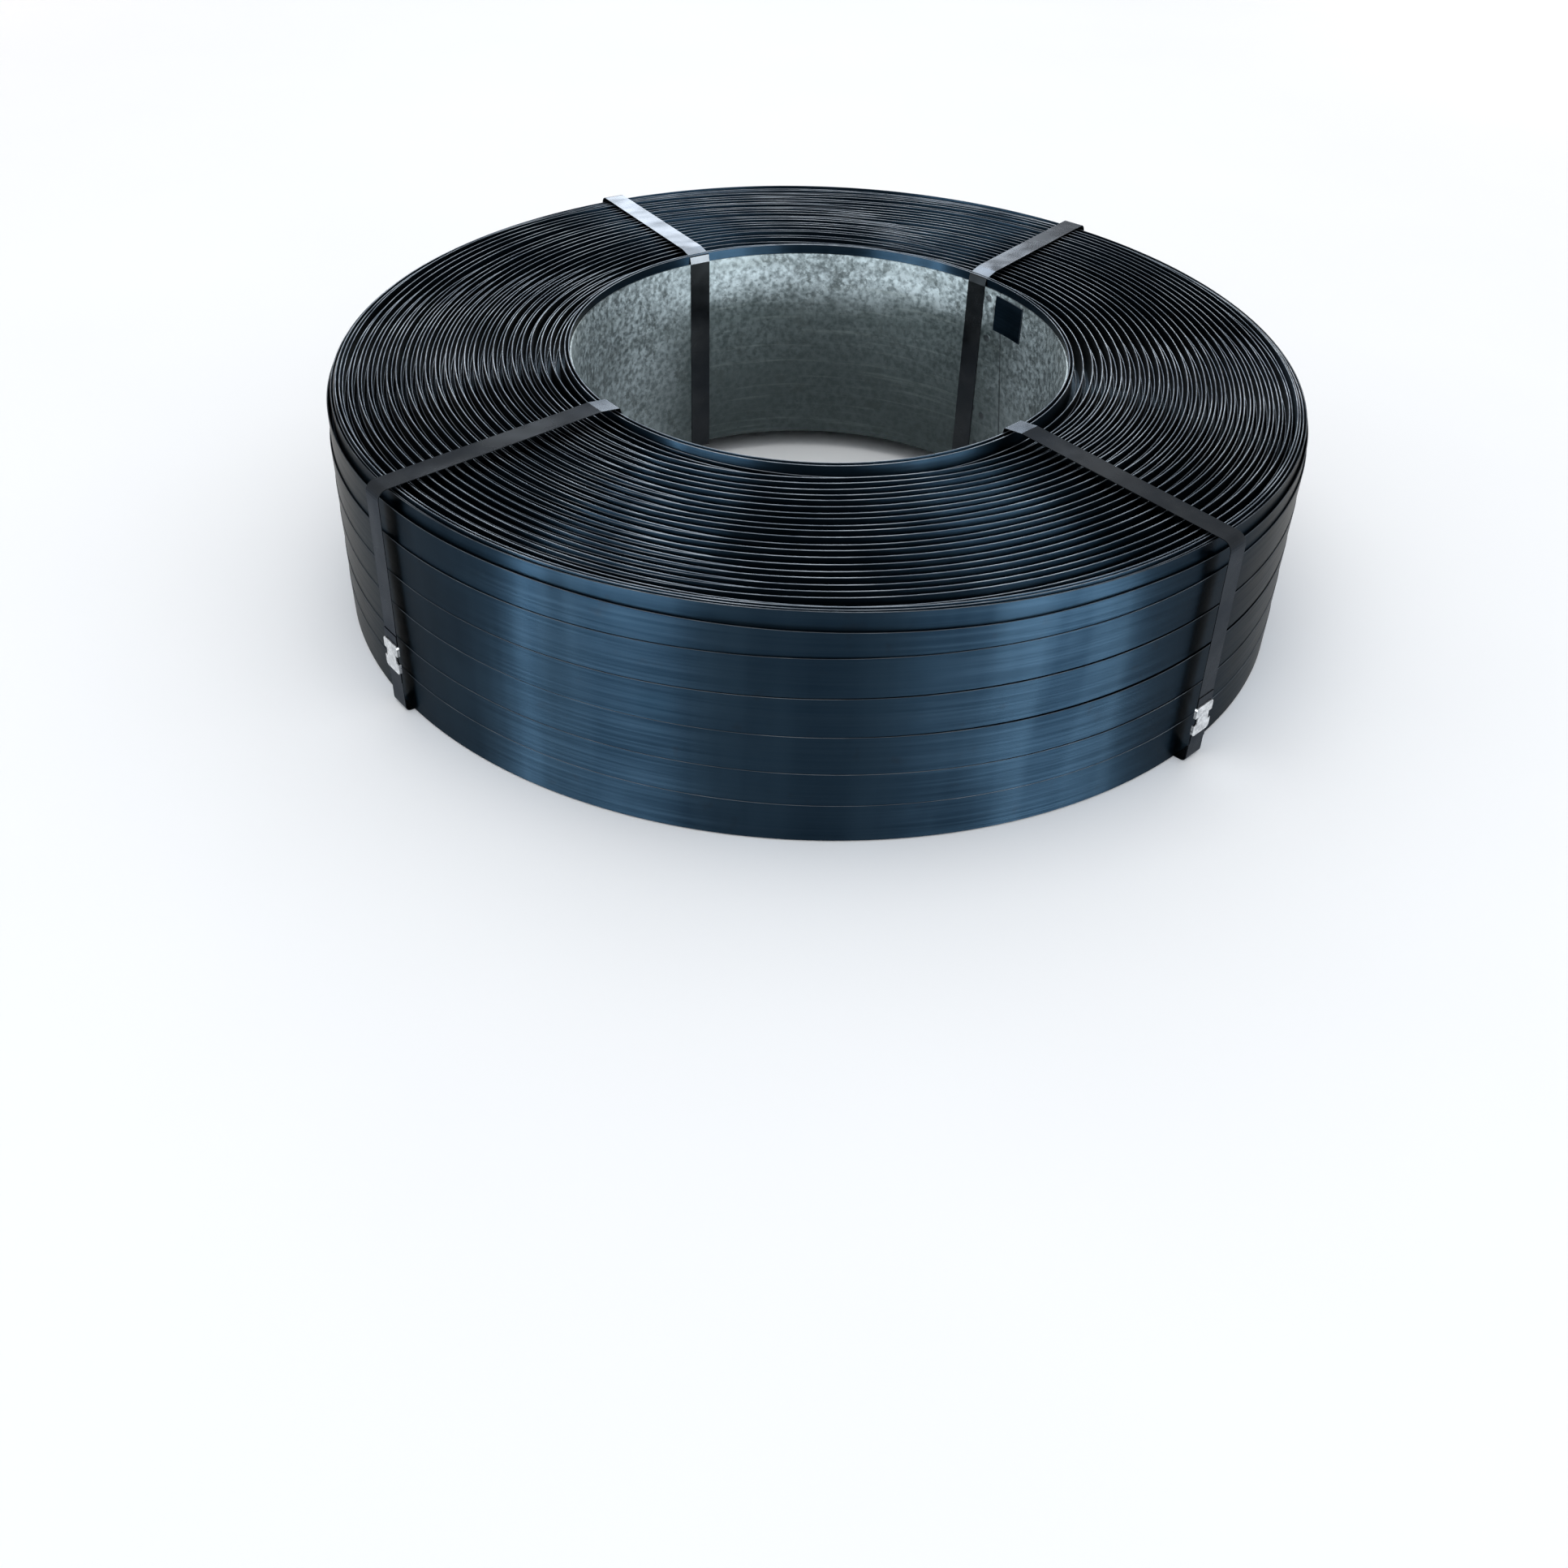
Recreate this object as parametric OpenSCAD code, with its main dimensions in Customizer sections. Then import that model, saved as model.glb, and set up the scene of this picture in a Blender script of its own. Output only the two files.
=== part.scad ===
// Steel strapping coil: one long blued strap wound side by side in many layers
// on a thin galvanised sleeve, tied by four flat binding straps with crimped seals.
// The coil lies on its end: z is the coil axis and z = 0 is what it rests on.

/* [Coil] */
// Outer diameter over the last turn, mm
coil_d = 800; // [700:5:900]
// Height of the wound strap from end to end, mm
wound_h = 190; // [175:1:205]
// How much higher the inner turns stand than the outer ones, mm
dish = 13; // [6:0.5:18]

/* [Strap] */
// Width of the wound strap, mm
strap_w = 32; // [25:0.5:40]
// Thickness of the wound strap, mm
strap_t = 0.9; // [0.6:0.05:1.2]
// Gap between neighbouring turns on the outer face, mm
turn_gap = 0.5; // [0.2:0.1:1.5]

/* [End faces] */
// Radial distance between the strap edges that show on an end, mm
ring_pitch = 8; // [6:0.5:12]
// Depth of the gaps between those edges, mm
ring_depth = 8; // [3:0.5:14]
// Width of the gap inside the last two turns, mm
edge_gap = 12; // [6:0.5:20]
// How far the top edge of the last turn lies below the end, mm
outer_drop = 14; // [8:0.5:20]
// How far the top edge of the turn inside it lies below the end, mm
band_drop = 4; // [4:0.5:7]
// How far the top edge of the first turn lies below the end, mm
inner_drop = 3; // [1:0.5:5]

/* [Sleeve] */
// Bore of the sleeve, mm
core_d = 406; // [380:1:430]
// Sheet thickness of the sleeve, mm
sleeve_wall = 1.2; // [0.8:0.1:2]
// Height of the sleeve, mm
sleeve_h = 178; // [165:1:182]
// How far the top of the sleeve lies below the first turn, mm
sleeve_drop = 5.5; // [3:0.5:8]
// Clearance between the sleeve and the strap wound on it, mm
sleeve_fit = 0.2; // [0.1:0.05:0.4]

/* [Strap end in the sleeve] */
// Angle of the slot that the inner end of the strap passes through, degrees
slot_angle = 30; // [25:1:36]
// Length of the strap end that lies on the inside of the sleeve, mm
end_length = 36; // [20:1:45]
// How far the upper edge of that end lies below the sleeve's top, mm
end_drop = 3; // [2:0.5:20]
// Clearance of the slot round the strap, mm
slot_fit = 0.5; // [0.3:0.1:1]

/* [Binding straps] */
// Width of a binding strap, mm
binder_w = 19; // [12:0.5:24]
// Thickness of a binding strap, mm
binder_t = 0.5; // [0.4:0.05:0.7]
// Clearance between a binding strap and the coil, mm
binder_fit = 0.3; // [0.2:0.05:0.5]
// Bend radius at the tight corners, mm
bend_r = 1; // [0.6:0.1:1.2]
// Bend radius over the upper outer corner, mm
shoulder_r = 8; // [6:0.5:10]
// Bend radius at the lower outer corner, mm
foot_r = 4; // [1:0.5:4.5]
// How far the front left strap stands off the outer face, mm
stand_front_left = 5.5; // [5:0.5:12]
// How far the front right strap stands off the outer face, mm
stand_front_right = 9; // [5:0.5:12]
// How far the two straps at the back stand off the outer face, mm
stand_back = 5.5; // [5:0.5:12]
// Angle of the front left strap on the outer face, degrees
angle_front_left = 219.5; // [205:0.5:225]
// Angle of the front right strap on the outer face, degrees
angle_front_right = 317; // [310:0.5:330]
// Angle of the back right strap on the outer face, degrees
angle_back_right = 53; // [50:0.5:65]
// Angle of the back left strap on the outer face, degrees
angle_back_left = 121.5; // [110:0.5:130]
// How far the line of the front left strap passes the coil's axis, mm
skew_front_left = -8; // [-40:1:40]
// How far the line of the front right strap passes the coil's axis, mm
skew_front_right = 0; // [-40:1:40]
// How far the line of the back right strap passes the coil's axis, mm
skew_back_right = 41; // [-50:1:50]
// How far the line of the back left strap passes the coil's axis, mm
skew_back_left = -12; // [-40:1:40]

/* [Seals] */
// Length of a seal along its strap, mm
seal_l = 26; // [22:1:36]
// Sheet thickness of a seal, mm
seal_wall = 0.9; // [0.6:0.1:1.2]
// Height of the middle of the front left seal above the floor, mm
seal_z_front_left = 48; // [34:1:90]
// Height of the middle of the front right seal above the floor, mm
seal_z_front_right = 38; // [34:1:90]
// Height of the middle of the two seals at the back, mm
seal_z_back = 43; // [34:1:90]
// Radius of the corners of a seal, mm
seal_round = 3; // [1:0.5:4]
// Clearance of the two strap ends in a seal, mm
seal_fit = 0.15; // [0.1:0.05:0.3]
// Width of a crimp notch, mm
notch_w = 7; // [4:0.5:8]
// Depth of a crimp notch, mm
notch_d = 3.5; // [2:0.25:4]
// How far the overlapping strap end stands out of a seal, mm
tail = 8; // [4:1:10]

/* [Hidden] */
$fn = 180;
core_r = core_d / 2;
coil_r = coil_d / 2;
wound_r = core_r + sleeve_wall + sleeve_fit;
base_z = binder_t + binder_fit;
turn_pitch = strap_w + turn_gap;
// A strap end face is a shallow cone: this is its height over the outer edge
function rise(r) = dish * (coil_r - r) / (coil_r - wound_r);
function top_at(r) = base_z + wound_h + rise(r);
function low_at(r) = base_z + rise(r);

first_top = top_at(wound_r) - inner_drop;
band_top = base_z + wound_h - band_drop;
last_top = base_z + wound_h - outer_drop;
band_r = coil_r - 2 * strap_t;
// The edges that show are spread evenly between the first turn and the wide gap
last_ring_r = band_r - edge_gap - strap_t;
ring_gaps = round((last_ring_r - wound_r) / ring_pitch);
ring_step = (last_ring_r - wound_r) / ring_gaps;
// The first edges rise from the first turn to the height of the rest
lead_rings = 2;
function ring_r(i) = wound_r + i * ring_step;
function ring_top(i) = top_at(ring_r(i)) - inner_drop * max(0, 1 - i / lead_rings);
line_count = floor((last_top - base_z - 2 * strap_t) / turn_pitch);

sleeve_top = first_top - sleeve_drop;
sleeve_low = sleeve_top - sleeve_h;

end_top = sleeve_top - end_drop;
end_r = core_r - sleeve_fit / 4;
end_sweep = end_length / core_r * 180 / PI;
slot_sweep = (strap_t + 2 * slot_fit) / core_r * 180 / PI;
leg_sweep = strap_t / core_r * 180 / PI;

// Corners of the face of a binding strap that lies against the coil, each with its
// bend radius. The strap stands s off the outer face.
binder_in = sqrt(pow(core_r - binder_fit / 2, 2) - pow(binder_w / 2, 2));
lead_r = ring_r(lead_rings);
function binder_out(s) = coil_r + s;
function binder_path(s) = [
  [binder_in, low_at(wound_r) - binder_fit, bend_r],
  [coil_r, base_z - binder_fit, bend_r],
  [binder_out(s), base_z - binder_fit, foot_r],
  [binder_out(s), top_at(binder_out(s)) + binder_fit, shoulder_r],
  [lead_r, top_at(lead_r) + binder_fit, bend_r],
  [wound_r - binder_fit, first_top + binder_fit + bend_r / 2, bend_r],
  [binder_in, sleeve_top, bend_r]
];
bend_steps = 6;
path_points = 7 * (bend_steps + 1);

seal_in_w = binder_w + 2 * seal_fit;
seal_in_t = 2 * binder_t + 2 * seal_fit;
seal_w = seal_in_w + 2 * seal_wall;
seal_t = seal_in_t + seal_wall;
function seal_low_r(s) = binder_out(s) - seal_fit;

// Points of a closed outline: each corner [x, y, bend radius] is moved out by t
// along its bisector and then rounded, and the bend grows with the offset
function turned(v) = [v[1], -v[0]];
function unit(v) = v / norm(v);
function at(p, i) = p[(i + len(p)) % len(p)];
function flat(c) = [c[0], c[1]];
function side(p, i) = turned(unit(flat(at(p, i + 1)) - flat(at(p, i))));
function pushed(p, t) = [
  for (i = [0 : len(p) - 1])
    let (a = side(p, i - 1), b = side(p, i), c = flat(p[i]) + (a + b) * t / (1 + a * b))
      [c[0], c[1], p[i][2] + t]
];
function bend(a, b, c, r) =
  let (
    u = unit(a - b), w = unit(c - b), half = acos(u * w) / 2,
    mid = b + unit(u + w) * r / sin(half), from = b + u * r / tan(half) - mid,
    sweep = 180 - 2 * half, start = atan2(from[1], from[0])
  )
  [for (k = [0 : bend_steps]) mid + r * [cos(start + sweep * k / bend_steps),
                                         sin(start + sweep * k / bend_steps)]];
function rounded(p) = [
  for (i = [0 : len(p) - 1])
    each bend(flat(at(p, i - 1)), flat(p[i]), flat(at(p, i + 1)), p[i][2])
];

// Outline of the winding in the radial plane
function low_rings() = [
  for (i = [0 : ring_gaps])
    let (r = ring_r(i), z = low_at(r), f = z + ring_depth)
      each [[r, z], [r + strap_t, z], [r + strap_t, f], [i < ring_gaps ? ring_r(i + 1) : band_r, f]]
];
function outer_lines() = [
  for (j = [1 : line_count])
    let (z = base_z + j * turn_pitch)
      each [[coil_r, z - turn_gap], [coil_r - strap_t, z - turn_gap], [coil_r - strap_t, z], [coil_r, z]]
];
function top_rings() = [
  for (n = [0 : ring_gaps])
    let (i = ring_gaps - n, r = ring_r(i), z = ring_top(i), f = z - ring_depth)
      each [[i < ring_gaps ? ring_r(i + 1) : band_r, f], [r + strap_t, f], [r + strap_t, z], [r, z]]
];

module strap_turns() {
  rotate_extrude()
    polygon(concat(
      low_rings(),
      [[band_r, base_z], [coil_r, base_z]],
      outer_lines(),
      [[coil_r, last_top], [coil_r - strap_t, last_top], [coil_r - strap_t, band_top], [band_r, band_top]],
      top_rings()
    ));
}

// The inner end of the strap: a leg through the slot and a flap on the sleeve's inside
module strap_inner_end() {
  rotate([0, 0, slot_angle])
    rotate_extrude(angle = leg_sweep)
      translate([end_r - strap_t, end_top - strap_w])
        square([wound_r + strap_t / 2 - end_r + strap_t, strap_w]);
  rotate([0, 0, slot_angle])
    rotate_extrude(angle = end_sweep)
      translate([end_r - strap_t, end_top - strap_w])
        square([strap_t, strap_w]);
}

module strap_winding() {
  color([0.10, 0.13, 0.19])
    union() {
      strap_turns();
      strap_inner_end();
    }
}

module core_sleeve() {
  color([0.55, 0.60, 0.58])
    difference() {
      translate([0, 0, sleeve_low])
        cylinder(r = core_r + sleeve_wall, h = sleeve_h);
      translate([0, 0, sleeve_low - 1])
        cylinder(r = core_r, h = sleeve_h + 2);
      rotate([0, 0, slot_angle - (slot_sweep - leg_sweep) / 2])
        rotate_extrude(angle = slot_sweep)
          translate([core_r - 1, end_top - strap_w - slot_fit])
            square([sleeve_wall + 2, strap_w + 2 * slot_fit]);
    }
}

// A binding strap runs straight across the end, on a line that passes the axis at a
// distance d. Each of its sections is turned about the axis to stay square to the radius.
function swing(r, s, d) = asin(d / binder_out(s)) - asin(d / r);
function placed(p, y, s, d) =
  let (a = swing(p[0], s, d))
    [p[0] * cos(a) - y * sin(a), p[0] * sin(a) + y * cos(a), p[1]];
function two(a, b, c, d) = [[a, b, c], [a, c, d]];

module binding_band(s, d) {
  n = path_points;
  inside = rounded(binder_path(s));
  outside = rounded(pushed(binder_path(s), binder_t));
  polyhedron(
    points = [
      for (face = [inside, outside]) for (y = [-binder_w / 2, binder_w / 2])
        for (p = face) placed(p, y, s, d)
    ],
    faces = [
      for (i = [0 : n - 1])
        let (k = (i + 1) % n)
          each concat(
            two(2 * n + i, 2 * n + k, 3 * n + k, 3 * n + i), two(i, n + i, n + k, k),
            two(n + i, 3 * n + i, 3 * n + k, n + k), two(i, k, 2 * n + k, 2 * n + i)
          )
    ]
  );
}

// The notches are cut through the seal and the strap ends that it holds
module crimp_notches(s, z) {
  for (h = [-1, 1])
    translate([seal_low_r(s) - seal_wall, h * (seal_w / 2 + 1), z])
      translate([0, h < 0 ? 0 : -notch_d - 1, -notch_w / 2])
        cube([seal_t + 2 * seal_wall, notch_d + 1, notch_w]);
}

module binding_strap(a, s, d, z) {
  color([0.30, 0.32, 0.34])
    rotate([0, 0, a])
      difference() {
        union() {
          binding_band(s, d);
          translate([binder_out(s) + binder_t, -binder_w / 2, z - seal_l / 2 - tail])
            cube([binder_t, binder_w, seal_l + 2 * tail]);
        }
        crimp_notches(s, z);
      }
}

// A seal is a channel folded round both strap ends, open at the back, with round corners
module seal_blank() {
  square([seal_w - 2 * seal_round, seal_l], center = true);
  square([seal_w, seal_l - 2 * seal_round], center = true);
  for (x = [-1, 1], y = [-1, 1])
    translate([x * (seal_w / 2 - seal_round), y * (seal_l / 2 - seal_round)])
      circle(r = seal_round, $fn = 48);
}

module seal(a, s, z) {
  color([0.75, 0.76, 0.76])
    rotate([0, 0, a])
      difference() {
        translate([seal_low_r(s), 0, z])
          rotate([90, 0, 90])
            linear_extrude(height = seal_t)
              seal_blank();
        translate([seal_low_r(s) - 1, -seal_in_w / 2, z - seal_l / 2 - 1])
          cube([seal_in_t + 1, seal_in_w, seal_l + 2]);
        crimp_notches(s, z);
      }
}

core_sleeve();
strap_winding();
binding_strap(angle_front_left, stand_front_left, skew_front_left, seal_z_front_left);  // binding_strap_front_left
binding_strap(angle_front_right, stand_front_right, skew_front_right, seal_z_front_right);  // binding_strap_front_right
binding_strap(angle_back_right, stand_back, skew_back_right, seal_z_back);  // binding_strap_back_right
binding_strap(angle_back_left, stand_back, skew_back_left, seal_z_back);  // binding_strap_back_left
seal(angle_front_left, stand_front_left, seal_z_front_left);  // seal_front_left
seal(angle_front_right, stand_front_right, seal_z_front_right);  // seal_front_right
seal(angle_back_right, stand_back, seal_z_back);  // seal_back_right
seal(angle_back_left, stand_back, seal_z_back);  // seal_back_left
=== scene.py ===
import math
import bpy
import numpy as np
from mathutils import Matrix, Vector


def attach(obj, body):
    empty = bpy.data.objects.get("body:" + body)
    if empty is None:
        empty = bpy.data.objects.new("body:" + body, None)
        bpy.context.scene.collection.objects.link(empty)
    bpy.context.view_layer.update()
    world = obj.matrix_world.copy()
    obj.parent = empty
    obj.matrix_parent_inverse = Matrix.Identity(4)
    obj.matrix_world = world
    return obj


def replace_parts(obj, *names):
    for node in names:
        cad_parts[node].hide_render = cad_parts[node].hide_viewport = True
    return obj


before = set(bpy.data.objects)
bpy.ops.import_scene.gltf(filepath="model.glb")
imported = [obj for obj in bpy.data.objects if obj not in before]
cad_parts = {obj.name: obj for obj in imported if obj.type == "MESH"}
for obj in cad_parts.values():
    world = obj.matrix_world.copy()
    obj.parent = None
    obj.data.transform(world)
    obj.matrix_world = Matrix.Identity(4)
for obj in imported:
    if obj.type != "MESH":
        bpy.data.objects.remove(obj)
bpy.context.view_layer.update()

# Sizes in metres and degrees, the same as in the part's source
COIL_R = 0.400
CORE_R = 0.203
SLEEVE_WALL = 0.0012
SLEEVE_FIT = 0.0002
STRAP_W = 0.032
STRAP_T = 0.0009
TURN_PITCH = 0.0325
BINDER_T = 0.0005
BINDER_FIT = 0.0003
WOUND_H = 0.190
DISH = 0.013
INNER_DROP = 0.003
SLEEVE_DROP = 0.0055
SLOT_ANGLE = 30
END_LENGTH = 0.036
END_DROP = 0.003
# Levels of the lower and the upper end at the rim, and the radius that the strap is wound on
BASE_Z = BINDER_T + BINDER_FIT
UPPER_Z = BASE_Z + WOUND_H
WOUND_R = CORE_R + SLEEVE_WALL + SLEEVE_FIT
RNG = np.random.default_rng(7)

# Camera, worked out from the rim and bore ellipses of the photograph
# Its place in coil radii from the middle of the upper rim, and its turns in radians
CAMERA_PLACE = (0.00676, -3.32165, 1.49557)
CAMERA_PITCH = 0.670947
CAMERA_YAW = -0.0141497
CAMERA_ROLL = 0.0355437
# Focal length and width of the photograph in its pixels, and the sensor's width in mm
FOCAL_PX = 2106.8
PHOTO_PX = 1932
SENSOR_MM = 36.0


def make_camera():
    """The photograph's camera: an axis ahead from yaw and pitch, with right and up rolled about it."""
    pitch, yaw, roll = CAMERA_PITCH, CAMERA_YAW, CAMERA_ROLL
    place = Vector(CAMERA_PLACE) * COIL_R + Vector((0, 0, UPPER_Z))
    ahead = Vector((math.sin(yaw) * math.cos(pitch), math.cos(yaw) * math.cos(pitch), -math.sin(pitch)))
    right = Vector((math.cos(yaw), -math.sin(yaw), 0.0))
    up = right.cross(ahead)
    rolled_right = right * math.cos(roll) + up * math.sin(roll)
    rolled_up = -right * math.sin(roll) + up * math.cos(roll)
    data = bpy.data.cameras.new("camera")
    data.sensor_width = SENSOR_MM
    data.lens = FOCAL_PX / PHOTO_PX * SENSOR_MM
    cam = bpy.data.objects.new("camera", data)
    bpy.context.scene.collection.objects.link(cam)
    turned = Matrix((rolled_right, rolled_up, -ahead)).transposed()
    cam.matrix_world = Matrix.Translation(place) @ turned.to_4x4()
    bpy.context.scene.camera = cam


make_camera()


# Shader arithmetic
class Val:
    """A shader socket; Python arithmetic on it makes Math nodes."""

    def __init__(self, sh, socket):
        self.sh, self.socket = sh, socket

    def op(self, kind, *others):
        return self.sh.node("ShaderNodeMath", {"operation": kind}, dict(enumerate((self,) + others)))

    def __add__(self, o):
        return self.op("ADD", o)

    def __radd__(self, o):
        return self.op("ADD", o)

    def __sub__(self, o):
        return self.op("SUBTRACT", o)

    def __rsub__(self, o):
        return (self * -1.0) + o

    def __mul__(self, o):
        return self.op("MULTIPLY", o)

    def __rmul__(self, o):
        return self.op("MULTIPLY", o)

    def __pow__(self, o):
        return self.op("POWER", o)


class Shader:
    """A material, its Principled shader and a way to add nodes."""

    def __init__(self, name, **fixed):
        self.mat = bpy.data.materials.new(name)
        self.mat.use_nodes = True
        self.tree = self.mat.node_tree
        self.bsdf = self.tree.nodes["Principled BSDF"]
        for key, value in fixed.items():
            self.bsdf.inputs[key.replace("_", " ")].default_value = value
        self.pos = self.node("ShaderNodeTexCoord", out="Object")
        axes = [self.node("ShaderNodeSeparateXYZ", {}, {0: self.pos}, out=i) for i in range(3)]
        self.x, self.y, self.z = axes

    def put(self, socket, value):
        if isinstance(value, Val):
            self.tree.links.new(value.socket, socket)
        else:
            socket.default_value = value

    def node(self, kind, settings=None, inputs=None, out=0):
        n = self.tree.nodes.new(kind)
        for key, value in (settings or {}).items():
            setattr(n, key, value)
        for key, value in (inputs or {}).items():
            self.put(n.inputs[key], value)
        return Val(self, n.outputs[out])

    def vec(self, x, y, z):
        return self.node("ShaderNodeCombineXYZ", {}, {0: x, 1: y, 2: z})

    def noise(self, at, scale, detail=3.0, rough=0.5):
        inputs = {"Vector": at, "Scale": scale, "Detail": detail, "Roughness": rough}
        return self.node("ShaderNodeTexNoise", {}, inputs)

    def cells(self, at, scale):
        """Distance to the nearest of many scattered points."""
        inputs = {"Vector": at, "Scale": scale}
        return self.node("ShaderNodeTexVoronoi", {"feature": "F1"}, inputs, "Distance")

    def mix(self, fac, a, b):
        return self.node("ShaderNodeMix", {"data_type": "RGBA"}, {0: fac, 6: a, 7: b}, out=2)

    def step(self, v, low, high, a=0.0, b=1.0):
        """A smooth step: a where v is at low, b where it is at high."""
        settings = {"interpolation_type": "SMOOTHSTEP"}
        return self.node("ShaderNodeMapRange", settings, {0: v, 1: low, 2: high, 3: a, 4: b})

    def set(self, name, value):
        self.put(self.bsdf.inputs[name], value)

    def bump(self, height, distance, strength=1.0):
        n = self.node("ShaderNodeBump", {}, {"Height": height, "Distance": distance, "Strength": strength})
        self.set("Normal", n)


def rgb(r, g, b, shade=1.0):
    """A colour, each part of it times the shade."""
    return r * shade, g * shade, b * shade, 1.0


# Finishes
def blued_steel(name, shade=1.0):
    """Blued strap face: dark blue oxide under thin wax, drawn streaks along the strap, faint smears.

    `shade` darkens the whole colour as painted shade, for faces between the turns, which see little light.
    """
    s = Shader(name, Metallic=1.0, Roughness=0.36, Anisotropic=0.95, Anisotropic_Rotation=0.25,
               Specular_Tint=(0.62, 0.60, 0.57, 1.0))
    along = s.vec(s.x * 6.0, s.y * 6.0, s.z * 420.0)
    streak = s.noise(along, 1.0, 4.0, 0.6)
    pillar = s.noise(s.vec(s.x * 15.0, s.y * 15.0, s.z * 1.2), 1.0, 3.0, 0.6)
    cloud = s.noise(s.pos, 9.0, 3.0, 0.55)
    blot = s.noise(s.pos, 60.0, 2.0, 0.5)
    oxide = s.step(cloud, 0.3, 0.72)
    base = s.mix(oxide, rgb(0.0066, 0.0155, 0.0265, shade), rgb(0.0105, 0.0225, 0.0365, shade))
    base = s.mix(s.step(pillar, 0.42, 0.66, 0.0, 0.55), base, rgb(0.0165, 0.033, 0.051, shade))
    base = s.mix(s.step(streak, 0.35, 0.75, 0.0, 0.25), base, rgb(0.021, 0.037, 0.054, shade))
    base = s.mix(s.step(blot, 0.62, 0.8, 0.0, 0.3), base, rgb(0.011, 0.014, 0.018, shade))
    s.set("Base Color", base)
    s.set("Roughness", s.step(streak + cloud * 0.6, 0.45, 1.15, 0.28, 0.38))
    s.bump(streak, 0.00003, 0.2)
    return s.mat


def sheared_edge(name, shade=1.0):
    """Slit edge of the strap: blued like its faces but lighter, with long soft patches of painted highlight.

    `shade` darkens it as painted shade, for the lines on the outer face, where the gaps between the turns
    lie in shadow.
    """
    s = Shader(name, Metallic=1.0, Roughness=0.45, Specular_Tint=(0.6, 0.62, 0.64, 1.0))
    patch = s.noise(s.pos, 16.0, 3.0, 0.6)
    fine = s.noise(s.pos, 120.0, 2.0, 0.6)
    # Painted highlight: lighter long soft patches stand in for the light that the edges catch
    painted_highlight = s.step(patch, 0.35, 0.7)
    base = s.mix(painted_highlight, rgb(0.062, 0.075, 0.092, shade), rgb(0.175, 0.198, 0.225, shade))
    base = s.mix(s.step(fine, 0.45, 0.75, 0.0, 0.3), base, rgb(0.030, 0.040, 0.055, shade))
    s.set("Base Color", base)
    s.set("Roughness", s.step(fine, 0.3, 0.7, 0.40, 0.52))
    return s.mat


def binder_steel():
    """Binding strap: dark waxed steel, slightly wavy from the edges it lies on, with soft dull patches."""
    s = Shader("binder_steel", Metallic=1.0, Roughness=0.24, Specular_Tint=(0.62, 0.64, 0.67, 1.0))
    patch = s.noise(s.pos, 18.0, 3.0, 0.55)
    scuff = s.noise(s.pos, 140.0, 3.0, 0.6)
    swell = s.noise(s.pos, 34.0, 1.0, 0.4)
    base = s.mix(s.step(patch, 0.3, 0.7), rgb(0.019, 0.022, 0.026), rgb(0.036, 0.039, 0.042))
    base = s.mix(s.step(scuff, 0.62, 0.8, 0.0, 0.3), base, rgb(0.055, 0.054, 0.052))
    s.set("Base Color", base)
    s.set("Roughness", s.step(patch + scuff * 0.08, 0.35, 0.75, 0.18, 0.30))
    s.bump(swell, 0.0011, 1.0)
    return s.mat


def zinc_seal():
    """Seal: bright zinc with small spangle and scuffs."""
    s = Shader("zinc_seal", Metallic=1.0, Roughness=0.3)
    grain = s.cells(s.pos, 320.0)
    scuff = s.noise(s.pos, 150.0, 3.0, 0.6)
    base = s.mix(s.step(grain, 0.1, 0.7), rgb(0.66, 0.67, 0.68), rgb(0.50, 0.51, 0.52))
    base = s.mix(s.step(scuff, 0.55, 0.75, 0.0, 0.6), base, rgb(0.34, 0.34, 0.34))
    s.set("Base Color", base)
    s.set("Roughness", s.step(scuff, 0.3, 0.7, 0.22, 0.42))
    s.bump(scuff, 0.00006, 0.4)
    return s.mat


# The sleeve's lapped seam: its azimuth in radians at SEAM_Z metres below the upper rim, and how many
# radians it moves for each metre upwards
SEAM_AZ = 0.654
SEAM_Z = 0.037
SEAM_SLANT = 0.7
# Clinch marks beside the seam: azimuth in degrees and mm above the upper rim
CLINCHES = ((42.7, -4), (40.1, -10.6), (42.1, -41), (44.6, -112), (41.1, -116), (42.4, -146))
# Azimuth in radians of the middle of the zone of painted shade
SHADE_ZONE_AZ = 1.48


def clinch_marks(s, az, high):
    """Mask of the clinch marks: 1 inside small round spots on the sleeve, by distance from their middles."""
    marks = None
    for a, z in CLINCHES:
        away = ((az - math.radians(a)) * CORE_R) ** 2.0 + (high - z / 1000) ** 2.0
        mark = s.step(away ** 0.5, 0.0042, 0.0022)
        marks = mark if marks is None else marks.op("MAXIMUM", mark)
    return marks


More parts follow.
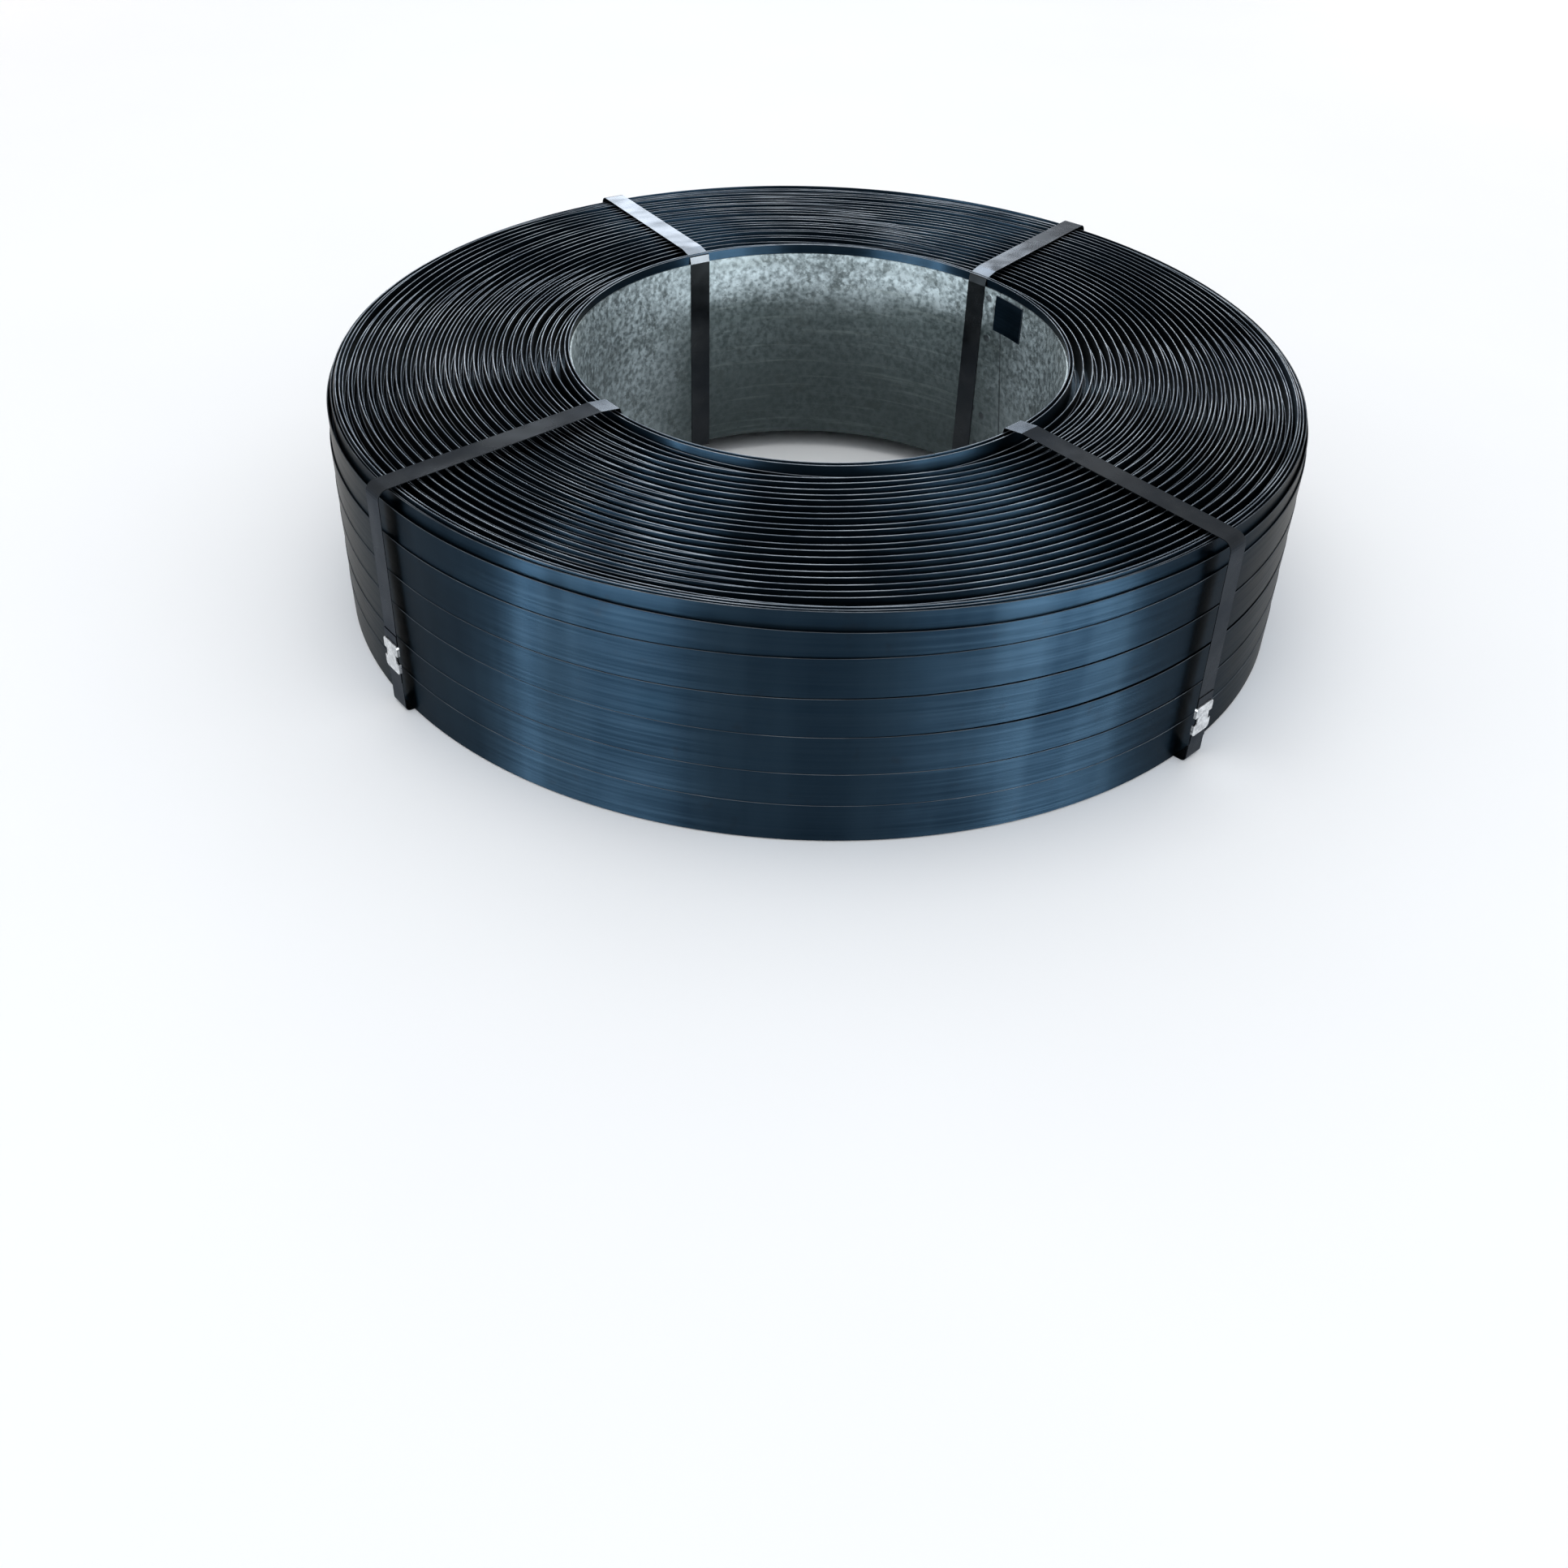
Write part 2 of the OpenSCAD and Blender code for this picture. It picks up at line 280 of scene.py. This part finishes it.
def galvanised():
    """Galvanised sheet: mottled grey-green spangle, dark specks and scuffed bands, with painted shade low
    down at the back, and the lapped seam, a slanting line with clinch marks beside it."""
    s = Shader("galvanised", Metallic=0.85, Roughness=0.45)
    az = s.y.op("ARCTAN2", s.x)
    high = s.z - UPPER_Z
    grain = s.cells(s.pos, 170.0)
    spangle = s.noise(s.pos, 210.0, 4.0, 0.65)
    cloud = s.noise(s.pos, 12.0, 3.0, 0.6)
    blotch = s.noise(s.pos, 48.0, 5.0, 0.72)
    band = s.noise(s.vec(s.x * 2.5, s.y * 2.5, s.z * 42.0), 1.0, 4.0, 0.6)
    scrape = s.noise(s.vec(s.x * 7.0, s.y * 7.0, s.z * 170.0), 1.0, 5.0, 0.65)
    speck = s.noise(s.vec(s.x * 1.0, s.y * 1.0, s.z * 1.6), 300.0, 3.0, 0.7)
    mottle = s.step(spangle + grain * 0.3, 0.45, 0.85)
    base = s.mix(mottle, rgb(0.16, 0.195, 0.205), rgb(0.335, 0.39, 0.41))
    base = s.mix(s.step(cloud, 0.35, 0.7, 0.0, 0.5), base, rgb(0.24, 0.285, 0.30))
    # Painted shade: low down at the back the sleeve is darkened, where the deep bore gets little light
    low_down = s.step(high + cloud * 0.05 + band * 0.03 + blotch * 0.012, 0.030, -0.002)
    at_back = s.step((az - SHADE_ZONE_AZ).op("ABSOLUTE") + cloud * 0.4, 1.28, 0.84)
    base = s.mix(low_down * at_back * 0.84, base, rgb(0.026, 0.037, 0.037))
    base = s.mix(s.step(blotch, 0.545, 0.62, 0.0, 0.55), base, rgb(0.05, 0.062, 0.062))
    base = s.mix(s.step(band, 0.48, 0.7, 0.0, 0.4), base, rgb(0.06, 0.078, 0.078))
    base = s.mix(s.step(scrape, 0.52, 0.72, 0.0, 0.2), base, rgb(0.24, 0.28, 0.27))
    base = s.mix(s.step(speck, 0.60, 0.72, 0.0, 0.6), base, rgb(0.035, 0.045, 0.048))
    seam = (az - SEAM_AZ - (high + SEAM_Z) * SEAM_SLANT).op("ABSOLUTE")
    base = s.mix(s.step(seam, 0.0075, 0.0025, 0.0, 0.7), base, rgb(0.03, 0.036, 0.04))
    marks = clinch_marks(s, az, high)
    base = s.mix(marks * 0.75, base, rgb(0.035, 0.04, 0.045))
    s.set("Base Color", base)
    s.set("Roughness", s.step(spangle, 0.3, 0.7, 0.38, 0.58))
    s.bump(spangle * 0.25 + speck * 0.12 + marks - s.step(seam, 0.004, 0.002), 0.0006, 0.5)
    return s.mat


MATS = {
    "blued": blued_steel("blued_steel"),
    # A darker copy of the blued steel: painted shade for the faces between the turns at the ends
    "inner": blued_steel("blued_steel_painted_shade", 0.55),
    "edge": sheared_edge("sheared_edge"),
    # A darker copy of the slit edge: painted shade for the lines on the outer face
    "edge_outer_shaded": sheared_edge("sheared_edge_outer", 0.45),
    "binder": binder_steel(),
    "zinc": zinc_seal(),
    "sleeve": galvanised(),
}


# Geometry helpers
def add_mesh(name, parts, mats):
    """An object from (points, quads, material index, smooth flag) groups."""
    verts, quads, kind, smooth = join(parts)
    me = bpy.data.meshes.new(name)
    me.vertices.add(len(verts))
    me.vertices.foreach_set("co", np.asarray(verts, np.float32).ravel())
    me.loops.add(quads.size)
    me.loops.foreach_set("vertex_index", quads.astype(np.int32).ravel())
    me.polygons.add(len(quads))
    me.polygons.foreach_set("loop_start", np.arange(0, quads.size, 4, dtype=np.int32))
    for m in mats:
        me.materials.append(MATS[m])
    me.polygons.foreach_set("material_index", np.asarray(kind, np.int32))
    me.polygons.foreach_set("use_smooth", np.asarray(smooth, bool))
    me.update(calc_edges=True)
    me.validate()
    ob = bpy.data.objects.new(name, me)
    bpy.context.scene.collection.objects.link(ob)
    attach(ob, "root")
    return ob


def join(parts):
    """Stacks (points, quads, material index, smooth flag) groups into one."""
    vs, qs, ks, ss, base = [], [], [], [], 0
    for v, q, k, m in parts:
        vs.append(v)
        qs.append(q + base)
        ks.append(np.full(len(q), k))
        ss.append(np.full(len(q), m))
        base += len(v)
    return np.concatenate(vs), np.concatenate(qs), np.concatenate(ks), np.concatenate(ss)


def lofted(rows, closed, kind, smooth):
    """Quads between successive rows of points; a closed row joins its last point to its first."""
    n = len(rows[0])
    i = np.arange(n if closed else n - 1)
    k = (i + 1) % n
    quads = [np.stack([i, k, n + k, n + i], 1) + j * n for j in range(len(rows) - 1)]
    return np.concatenate(rows), np.concatenate(quads), kind, smooth


def all_round(steps):
    """Azimuths of that many even steps, once round the coil."""
    return np.linspace(0, 2 * math.pi, steps + 1)[:-1]


# Width of the two bevels that round a slit edge
BEVEL = 0.0002


def turn(az, r, z_low, z_top, t=STRAP_T, lean=0.0, closed=True, fine=True, up=True):
    """One strap turn: a section t thick carried round at radius r, from z_low to z_top.

    Its points are (radius * cos(az), radius * sin(az), z). The section leans by `lean` towards its top.
    With `fine`, the slit edge that shows is rounded: two bevels share smooth normals with the flat edge.
    Rows run outer face, edge, inner face, underside, so the quads face outwards. With `up` false the
    rounded edge is the lower one. A turn that isn't closed has a flat quad at each end.
    """
    c, s = np.cos(az), np.sin(az)

    def row(rad, z):
        rad = np.broadcast_to(rad, az.shape)
        return np.stack([rad * c, rad * s, np.broadcast_to(z, az.shape)], 1)

    b = BEVEL if fine else 0.0
    bt, bl = (b, 0.0) if up else (0.0, b)
    o0, o1, i1, i0 = r + t / 2, r + lean + t / 2, r + lean - t / 2, r - t / 2
    parts = [
        lofted([row(o0, z_low + bl), row(o1, z_top - bt)], closed, 0, True),
        lofted([row(i1, z_top - bt), row(i0, z_low + bl)], closed, 0, True),
    ]
    top = [row(o1, z_top - bt), row(i1, z_top - bt)]
    low = [row(i0, z_low + bl), row(o0, z_low + bl)]
    if fine and up:
        top = [top[0], row(o1 - b, z_top), row(i1 + b, z_top), top[1]]
    if fine and not up:
        low = [low[0], row(i0 + b, z_low), row(o0 - b, z_low), low[1]]
    parts += [lofted(top, closed, 1, True), lofted(low, closed, 1, True)]
    if not closed:
        for e in (0, -1):
            ring = np.stack([row(o0, z_low)[e], row(o1, z_top)[e], row(i1, z_top)[e], row(i0, z_low)[e]])
            parts.append((ring, np.array([[0, 1, 2, 3] if e == 0 else [3, 2, 1, 0]]), 1, False))
    return parts


def wave(az, n=4, seed=0):
    """Smooth closed wander round the coil: a short sum of sines with seeded phases, about -1 to 1."""
    g = np.random.default_rng(seed)
    total = np.zeros_like(az)
    for k in range(1, n + 1):
        total += g.normal() / k * np.sin(k * az + g.uniform(0, 2 * math.pi))
    return total / 1.6


def rise(r):
    """Height of the end's cone over its rim: nothing at the rim, the dish at the bore."""
    return DISH * (COIL_R - r) / (COIL_R - WOUND_R)


def crown(r, az):
    """Height of the highest edges over the end's rim: the cone, less a sine that lowers the front and an
    exponential fall towards the bore."""
    return rise(r) - 0.00085 * (1 - np.sin(az)) - 0.0042 * np.exp(-(r - 0.212) / 0.022)


# Strap edges on the two ends: their rows, and how far the highest points turn over the end, in degrees
ROW_PITCH = 0.00765
FIRST_ROW = 0.2123
ROWS = 23
PEAK_TURN = 32
# Each family of edges: its place inside a pitch, the angle where it comes highest, its first row
FAMILIES = ((0.0, 204, 0), (0.00096, 297, 2), (0.0039, 31, 0), (0.0048, 126, 0))
# How softly an edge turns over at its highest point, in turns, and the highest that any edge stands
SOFT_PEAK = 0.012
HIGHEST = 0.0122


def end_turns(name, upper, steps):
    """Strap turns at one end of the coil, drawn as closed rings with a wavy edge.

    The strap travels up and down the coil as it winds, so an edge rises to the end and falls away by one
    strap pitch a turn: drop = pitch * (sqrt(u^2 + a^2) - a), with u the distance from its highest point in
    turns. Four families of such edges repeat every few layers, and their highest points turn slowly with
    the radius. Where two neighbours cross, their edges run together.
    """
    parts = []
    az = all_round(steps)
    for fam, (place, peak, first) in enumerate(FAMILIES):
        for row in range(first, ROWS):
            r0 = FIRST_ROW + ROW_PITCH * row + place
            seed = 100 * fam + row
            share = (r0 - 0.218) / 0.168
            top = math.radians(peak + PEAK_TURN * (share - 0.5) + 3.5 * RNG.normal())
            u = ((az - top) / (2 * math.pi) + 0.5) % 1.0 - 0.5
            soft = np.sqrt(u ** 2 + SOFT_PEAK ** 2) - SOFT_PEAK
            drop = TURN_PITCH * soft + 0.0003 * wave(az, 6, seed) + 0.0003 * abs(RNG.normal())
            r = r0 + 0.0003 * wave(az, 5, 1000 + seed) + 0.0002 * RNG.normal()
            if upper:
                z_top = UPPER_Z + np.minimum(crown(r, az) - drop, HIGHEST)
                z_low = z_top - STRAP_W * 0.8
            else:
                z_low = np.maximum(BASE_Z + rise(r) + drop, BASE_Z + rise(r) + 0.0001)
                z_top = z_low + STRAP_W * 0.8
            parts += turn(az, r, z_low, z_top, fine=upper, up=upper)
    # The faces take the darker copy of the blued steel, painted shade between the turns
    return add_mesh(name, parts, ["inner", "edge"])


# Turns in the wide gap by the rim: radius, how far over the cone in mm, how far the edge falls away, the
# azimuth in degrees where it stands highest and furthest out, and how far out it wanders there
GAP_TURNS = (
    (0.3873, -0.2, 0.0022, 280, 0.0007),
    (0.3897, -0.4, 0.0016, 250, 0.0009),
    (0.3918, -2.2, 0.0028, 300, 0.0008),
)
# Radius of the second turn by the bore, and the highest that it stands
SECOND_R = 0.2064
SECOND_HIGHEST = 0.0124


def rim_turns():
    """The turns by the bore and in the wide gap inside the last two, which follow no family.

    The two by the bore are tilted: high at the back and low at the front, by a sine of the azimuth. Those in
    the wide gap rise, fall and wander outwards by a cosine, and run together with the band at places.
    """
    az = all_round(360)
    lift = np.sin(az)
    z = UPPER_Z + 0.0096 + 0.0027 * lift + 0.0002 * wave(az, 4, 21)
    parts = turn(az, WOUND_R + STRAP_T / 2 + 0.0001, z - STRAP_W, z)
    z = np.minimum(UPPER_Z + 0.0098 + 0.0030 * lift + 0.0002 * wave(az, 4, 22), UPPER_Z + SECOND_HIGHEST)
    parts += turn(az, SECOND_R + 0.0014 * (1 - lift), z - STRAP_W, z)
    for k, (r, over, swing, peak, drift) in enumerate(GAP_TURNS):
        turned = np.cos(az - math.radians(peak))
        z = UPPER_Z + over / 1000 + rise(r) - swing * (1 - turned) * 0.5
        z = z - 0.0006 * (1 - lift) + 0.0004 * wave(az, 6, 31 + k)
        parts += turn(az, r + drift * turned + 0.0003 * wave(az, 4, 41 + k), z - STRAP_W * 0.7, z)
    return add_mesh("rim_turns", parts, ["blued", "edge"])


# Lower edge of the last layer: turns from azimuth 0 and height in mm, read off the lines on the outer face
LAYER_EDGE = np.array([
    [0.0, 0.8], [1.25, 0.8], [1.5, 26.5], [1.62, 28.3], [1.9, 29.0], [2.2, 45.0],
    [2.5, 58.5], [2.75, 60.2], [2.9, 62.5], [3.62, 87.8], [3.75, 92.3], [3.87, 96.3],
    [4.62, 119.8], [4.75, 124.8], [4.87, 129.8], [5.1, 137.0], [5.35, 144.8],
])
LAYER_STEPS = 1500
# The last level turn: azimuth in degrees, and how far its upper edge lies below the end in mm
LAST_TURN = np.array([
    [0, 13], [60, 12.5], [120, 13], [180, 12.5], [217, 13], [241, 11.2],
    [270, 14], [290, 14.6], [304, 12.4], [320, 14.6], [360, 13],
])
# How far the last layer, the last level turn and the band lie inside the coil's radius
LAYER_IN = 0.00125
LAST_IN = 0.0022
BAND_IN = 0.0051
# How far the last layer leans outwards at its upper edge
LAYER_LEAN = 0.00055


def outer_turns():
    """The last layers, drawn whole. The band's distance from the last turn changes by a cosine and is widest
    at the front left.

    The lower edge of the last layer rises with the angle by one strap width and a small gap a turn, with a
    level turn at the bottom: straight stretches between a few heights, smoothed by a running mean. Each turn
    leans outwards by less than a strap thickness at its upper edge, so the next one stands behind it. Under
    it lie the last level turn at the top and the band that shows above.
    """
    tau = np.linspace(0.0, LAYER_EDGE[-1, 0], LAYER_STEPS)
    low = np.interp(tau, LAYER_EDGE[:, 0], LAYER_EDGE[:, 1]) / 1000
    low = np.convolve(np.pad(low, 20, mode="edge"), np.ones(41) / 41, "valid")
    az = tau * 2 * math.pi
    low = np.maximum(low + 0.00015 * wave(az, 5, 5), BASE_Z + 0.0001)
    parts = turn(az, COIL_R - LAYER_IN, low, low + STRAP_W, STRAP_T * 0.95, lean=LAYER_LEAN, closed=False)
    az = all_round(360)
    fall = np.interp(np.degrees(az), LAST_TURN[:, 0], LAST_TURN[:, 1])
    ker = np.hanning(17)
    fall = np.convolve(np.concatenate([fall[-8:], fall, fall[:8]]), ker / ker.sum(), "valid")
    top = UPPER_Z - fall / 1000
    parts += turn(az, COIL_R - LAST_IN, top - STRAP_W, top)
    band = UPPER_Z - 0.0028 + 0.0023 * np.cos(2 * (az - 1.5 * math.pi)) + 0.0002 * wave(az, 5, 11)
    parts += turn(az, COIL_R - BAND_IN - 0.0010 * np.cos(az - math.radians(238)), band - STRAP_W, band)
    # The edges take the darker copy, painted shade for the lines on the outer face
    return add_mesh("outer_turns", parts, ["blued", "edge_outer_shaded"])


# How far the wound mass lies inside the last layer and behind the edges on the lower and the upper end
CORE_IN = 0.0042
CORE_LOW_IN = 0.020
CORE_UPPER_IN = 0.024


def winding_core():
    """The wound mass behind the turns that show: a ring with four sides, turned about the coil's axis. Both
    its ends follow the cone."""
    az = all_round(256)
    c, s = np.cos(az), np.sin(az)
    r0, r1 = WOUND_R + 0.0001, COIL_R - CORE_IN
    z0, z1 = BASE_Z + CORE_LOW_IN, UPPER_Z - CORE_UPPER_IN
    corners = [(r1, z0 + rise(r1)), (r1, z1 + rise(r1)), (r0, z1 + rise(r0)), (r0, z0 + rise(r0))]
    rows = [np.stack([r * c, r * s, np.full_like(az, z)], 1) for r, z in corners + corners[:1]]
    parts = [lofted(rows[j:j + 2], True, 0, True) for j in range(4)]
    return add_mesh("winding_core", parts, ["blued"])


def inner_end():
    """The flap of the strap on the inside of the sleeve: an arc of the sleeve's radius one strap thick, with
    the leg that passes out through the slot."""
    r = CORE_R - 0.00005 - STRAP_T / 2
    start = math.radians(SLOT_ANGLE)
    flap = np.linspace(start, start + END_LENGTH / CORE_R, 24)
    leg = np.linspace(start, start + STRAP_T / CORE_R, 3)
    top = UPPER_Z + DISH - INNER_DROP - SLEEVE_DROP - END_DROP
    leg_r = (r + WOUND_R) / 2 + 0.0004
    parts = turn(flap, r, top - STRAP_W, top, closed=False)
    parts += turn(leg, leg_r, top - STRAP_W, top, WOUND_R - r, closed=False, fine=False)
    return add_mesh("strap_inner_end", parts, ["blued", "edge"])


end_turns("end_turns_upper", True, 168)
end_turns("end_turns_lower", False, 96)
rim_turns()
outer_turns()
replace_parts(winding_core(), "strap_winding")
inner_end()

# Materials of the CAD pieces that stay, by the first word of their names
FINISHES = {"core": "sleeve", "binding": "binder", "seal": "zinc"}
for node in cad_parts:
    ob = bpy.data.objects.get(node)
    key = FINISHES.get(node.split("_")[0])
    if ob is None or key is None:
        continue
    for slot in ob.material_slots:
        slot.material = MATS[key]


# Floor, light and background
FLOOR_HALF = 30.0


def make_floor():
    """A flat pale floor. The camera and mirrored rays see it nearly white, other light finds it greyer."""
    me = bpy.data.meshes.new("floor")
    s = FLOOR_HALF
    me.from_pydata([(-s, -s, 0), (s, -s, 0), (s, s, 0), (-s, s, 0)], [], [(0, 1, 2, 3)])
    floor = bpy.data.objects.new("floor", me)
    bpy.context.scene.collection.objects.link(floor)
    sh = Shader("floor_pale", Roughness=0.9)
    spread = sh.noise(sh.pos, 3.0, 2.0)
    rays = ("Is Camera Ray", "Is Glossy Ray", "Is Transmission Ray")
    camera, glossy, through = [sh.node("ShaderNodeLightPath", out=ray) for ray in rays]
    seen = camera.op("MAXIMUM", glossy).op("MAXIMUM", through)
    pale = sh.mix(spread, rgb(0.92, 0.92, 0.92), rgb(0.96, 0.96, 0.96))
    sh.set("Base Color", sh.mix(seen, rgb(0.6, 0.6, 0.6), pale))
    me.materials.append(sh.mat)


def area(name, place, target, size, power, colour, strip=False):
    """A rectangular lamp that looks at its target. A strip lights mirrored rays only."""
    data = bpy.data.lights.new(name, "AREA")
    data.shape = "RECTANGLE"
    data.size, data.size_y = size
    data.energy = power
    data.color = colour
    ob = bpy.data.objects.new(name, data)
    ob.location = place
    ob.rotation_euler = (Vector(target) - Vector(place)).to_track_quat("-Z", "Y").to_euler()
    ob.visible_diffuse = not strip
    bpy.context.scene.collection.objects.link(ob)


def around(az, far, z):
    """A place at azimuth az in degrees, that far from the coil's axis."""
    return far * math.cos(math.radians(az)), far * math.sin(math.radians(az)), z


COOL = (0.93, 0.97, 1.0)
SKY = (0.95, 0.98, 1.0)
MIDDLE = (0, 0, 0.1)


def make_lamps():
    """A soft lamp above, strips behind for the bright upper end, and lamps round the outer face for its
    streaks."""
    area("light_top", (-0.3, -0.2, 2.6), MIDDLE, (1.6, 1.6), 12, (1.0, 0.99, 0.97))
    area("strip_back", (-0.5, 4.2, 1.08), (0, 0.3, 0.2), (2.4, 0.6), 54, SKY, True)
    area("strip_high", (0.0, 3.5, 2.1), (0, 0, 0.2), (1.0, 0.9), 42, SKY, True)
    area("strip_left", around(213, 2.9, 0.6), MIDDLE, (0.13, 1.3), 90, COOL, True)
    area("glow_left", around(233, 2.9, 0.6), MIDDLE, (1.3, 1.3), 175, COOL, True)
    area("glow_right", around(301, 2.9, 0.6), MIDDLE, (1.0, 1.3), 60, COOL, True)
    area("strip_right", around(323, 2.5, 0.6), MIDDLE, (1.3, 1.3), 205, COOL, True)
    area("warm_left", around(131, 3.0, 0.4), MIDDLE, (0.8, 0.8), 10, (1.0, 0.66, 0.38), True)
    area("warm_right", around(58, 3.1, 0.4), MIDDLE, (0.7, 0.8), 20, (1.0, 0.78, 0.55), True)


def make_world():
    """A white background for the camera, mirrored and passing rays, and a dimmer one for the rest."""
    world = bpy.data.worlds.new("world")
    bpy.context.scene.world = world
    world.use_nodes = True
    nodes, links = world.node_tree.nodes, world.node_tree.links
    dim = nodes["Background"]
    dim.inputs[0].default_value = (0.93, 0.96, 1.0, 1)
    dim.inputs[1].default_value = 0.92
    white = nodes.new("ShaderNodeBackground")
    white.inputs[0].default_value = (1, 1, 1, 1)
    white.inputs[1].default_value = 1.0
    ray = nodes.new("ShaderNodeLightPath")
    mix = nodes.new("ShaderNodeMixShader")
    mirrored = nodes.new("ShaderNodeMath")
    mirrored.operation = "MAXIMUM"
    seen = nodes.new("ShaderNodeMath")
    seen.operation = "MAXIMUM"
    links.new(ray.outputs["Is Camera Ray"], mirrored.inputs[0])
    links.new(ray.outputs["Is Glossy Ray"], mirrored.inputs[1])
    links.new(mirrored.outputs[0], seen.inputs[0])
    links.new(ray.outputs["Is Transmission Ray"], seen.inputs[1])
    links.new(seen.outputs[0], mix.inputs[0])
    links.new(dim.outputs[0], mix.inputs[1])
    links.new(white.outputs[0], mix.inputs[2])
    links.new(mix.outputs[0], nodes["World Output"].inputs[0])


make_floor()
make_lamps()
make_world()
bpy.context.scene.view_settings.view_transform = "Standard"
